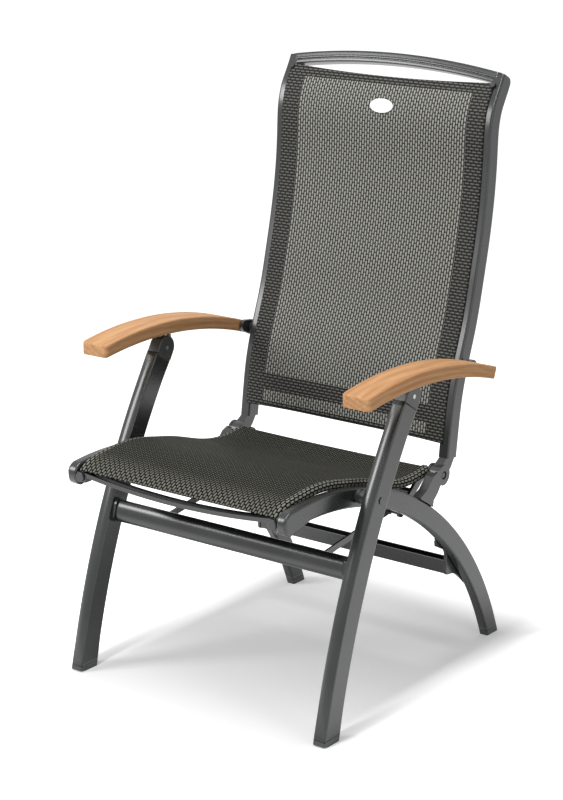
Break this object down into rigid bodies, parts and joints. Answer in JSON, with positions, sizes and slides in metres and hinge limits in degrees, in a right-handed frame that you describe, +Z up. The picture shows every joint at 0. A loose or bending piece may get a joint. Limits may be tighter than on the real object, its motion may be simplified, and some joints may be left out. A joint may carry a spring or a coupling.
{
  "type": "folding garden chair",
  "caption": "High-backed folding garden chair with cloth seat and back on a dark metal frame, curved rear legs and wooden armrests with notched recline.",
  "frame": {"origin": "centre of the bounding box on the floor", "axes": "+Z up, the sitter faces -Y, +X is the sitter's left"},
  "size_m": [0.652, 0.7066, 1.123],
  "materials": {
    "frame_coat": "satin dark grey powder coat",
    "black_steel": "satin black coat",
    "teak": "oiled, fine straight grain",
    "back_cloth": "open woven mesh",
    "seat_cloth": "ribbed woven mesh",
    "plastic": "fine matt",
    "pale_plastic": "smooth",
    "steel": "zinc plated"
  },
  "bodies": {
    "arm_left": {"arm_bracket_left": "frame_coat", "arm_end_screws_left": "steel", "arm_track_left": "steel", "armrest_left": "teak"},
    "arm_right": {"arm_bracket_right": "frame_coat", "arm_end_screws_right": "steel", "arm_track_right": "steel", "armrest_right": "teak"},
    "arm_pin_left": {"arm_hinge_block_left": "black_steel", "arm_pivot_pin_left": "steel"},
    "arm_pin_right": {"arm_hinge_block_right": "black_steel", "arm_pivot_pin_right": "steel"},
    "slide_left": {"arm_slide_left": "steel", "notch_pin_left": "frame_coat"},
    "slide_right": {"arm_slide_right": "steel", "notch_pin_right": "frame_coat"},
    "backrest": {"back_knuckle_left": "frame_coat", "back_knuckle_right": "frame_coat", "back_lower_bar": "frame_coat", "back_rail_left": "frame_coat", "back_rail_right": "frame_coat", "back_sling": "back_cloth", "back_top_bar": "frame_coat", "corner_plugs": "plastic", "oval_plate": "pale_plastic"},
    "yoke": {"back_pivot_bolts": "steel", "yoke_bar": "frame_coat", "yoke_lever_left": "frame_coat", "yoke_lever_right": "frame_coat"},
    "front_legs": {"front_cross_tube": "frame_coat", "front_feet": "plastic", "front_leg_left": "frame_coat", "front_leg_right": "frame_coat", "leg_top_cap_left": "plastic", "leg_top_cap_right": "plastic", "leg_top_pins": "steel", "strap_front_pins": "steel", "strap_lugs": "frame_coat", "tube_collars": "frame_coat"},
    "frame": {"hinge_bracket_left": "frame_coat", "hinge_bracket_right": "frame_coat", "leg_pivot_bolts": "steel", "leg_pivot_spacers": "plastic", "rear_cross_channel": "frame_coat", "rear_feet": "plastic", "rear_leg_arch_left": "frame_coat", "rear_leg_arch_right": "frame_coat", "seat_front_bow": "frame_coat", "seat_rail_knobs": "plastic", "seat_rail_left": "frame_coat", "seat_rail_right": "frame_coat", "seat_rail_screws": "steel", "seat_sling": "seat_cloth"},
    "strap_left": {"link_strap_left": "frame_coat", "strap_rear_bolt_left": "frame_coat"},
    "strap_right": {"link_strap_right": "frame_coat", "strap_rear_bolt_right": "frame_coat"}
  },
  "joints": [
    {"name": "fold", "type": "hinge", "parent": "frame", "child": "yoke", "pos_m": [0, 0.139, 0.378], "axis": [1, 0, 0], "range_deg": [0, 86]},
    {"name": "recline", "type": "hinge", "parent": "yoke", "child": "backrest", "pos_m": [0, 0.139, 0.378], "axis": [1, 0, 0], "range_deg": [-25, 0]},
    {"name": "front_legs_fold", "type": "hinge", "parent": "frame", "child": "front_legs", "pos_m": [0, -0.137, 0.412], "axis": [1, 0, 0], "range_deg": [0, 61.24]},
    {"name": "strap_fold_left", "type": "hinge", "parent": "front_legs", "child": "strap_left", "pos_m": [0, -0.163, 0.2874], "axis": [1, 0, 0], "range_deg": [-77.76, 0]},
    {"name": "arm_fold_left", "type": "hinge", "parent": "backrest", "child": "arm_pin_left", "pos_m": [0, 0.208, 0.573], "axis": [1, 0, 0], "range_deg": [-117.82, 0]},
    {"name": "arm_recline_left", "type": "hinge", "parent": "arm_pin_left", "child": "arm_left", "pos_m": [0, 0.208, 0.573], "axis": [1, 0, 0], "range_deg": [0, 16.66]},
    {"name": "slide_fold_left", "type": "hinge", "parent": "front_legs", "child": "slide_left", "pos_m": [0, -0.037, 0.579], "axis": [1, 0, 0], "range_deg": [-94.73, 0]},
    {"name": "strap_fold_right", "type": "hinge", "parent": "front_legs", "child": "strap_right", "pos_m": [0, -0.163, 0.2874], "axis": [1, 0, 0], "range_deg": [-77.76, 0]},
    {"name": "arm_fold_right", "type": "hinge", "parent": "backrest", "child": "arm_pin_right", "pos_m": [0, 0.208, 0.573], "axis": [1, 0, 0], "range_deg": [-117.82, 0]},
    {"name": "arm_recline_right", "type": "hinge", "parent": "arm_pin_right", "child": "arm_right", "pos_m": [0, 0.208, 0.573], "axis": [1, 0, 0], "range_deg": [0, 16.66]},
    {"name": "slide_fold_right", "type": "hinge", "parent": "front_legs", "child": "slide_right", "pos_m": [0, -0.037, 0.579], "axis": [1, 0, 0], "range_deg": [-94.73, 0]}
  ],
  "couplings": [
    {"joint": "front_legs_fold", "follows": "fold", "ratio": 0.712},
    {"joint": "strap_fold_left", "follows": "fold", "ratio": -0.904},
    {"joint": "arm_fold_left", "follows": "fold", "ratio": -1.3698},
    {"joint": "arm_recline_left", "follows": "recline", "ratio": -0.6661},
    {"joint": "slide_fold_left", "follows": "fold", "ratio": -1.1014},
    {"joint": "strap_fold_right", "follows": "fold", "ratio": -0.904},
    {"joint": "arm_fold_right", "follows": "fold", "ratio": -1.3698},
    {"joint": "arm_recline_right", "follows": "recline", "ratio": -0.6661},
    {"joint": "slide_fold_right", "follows": "fold", "ratio": -1.1014}
  ]
}
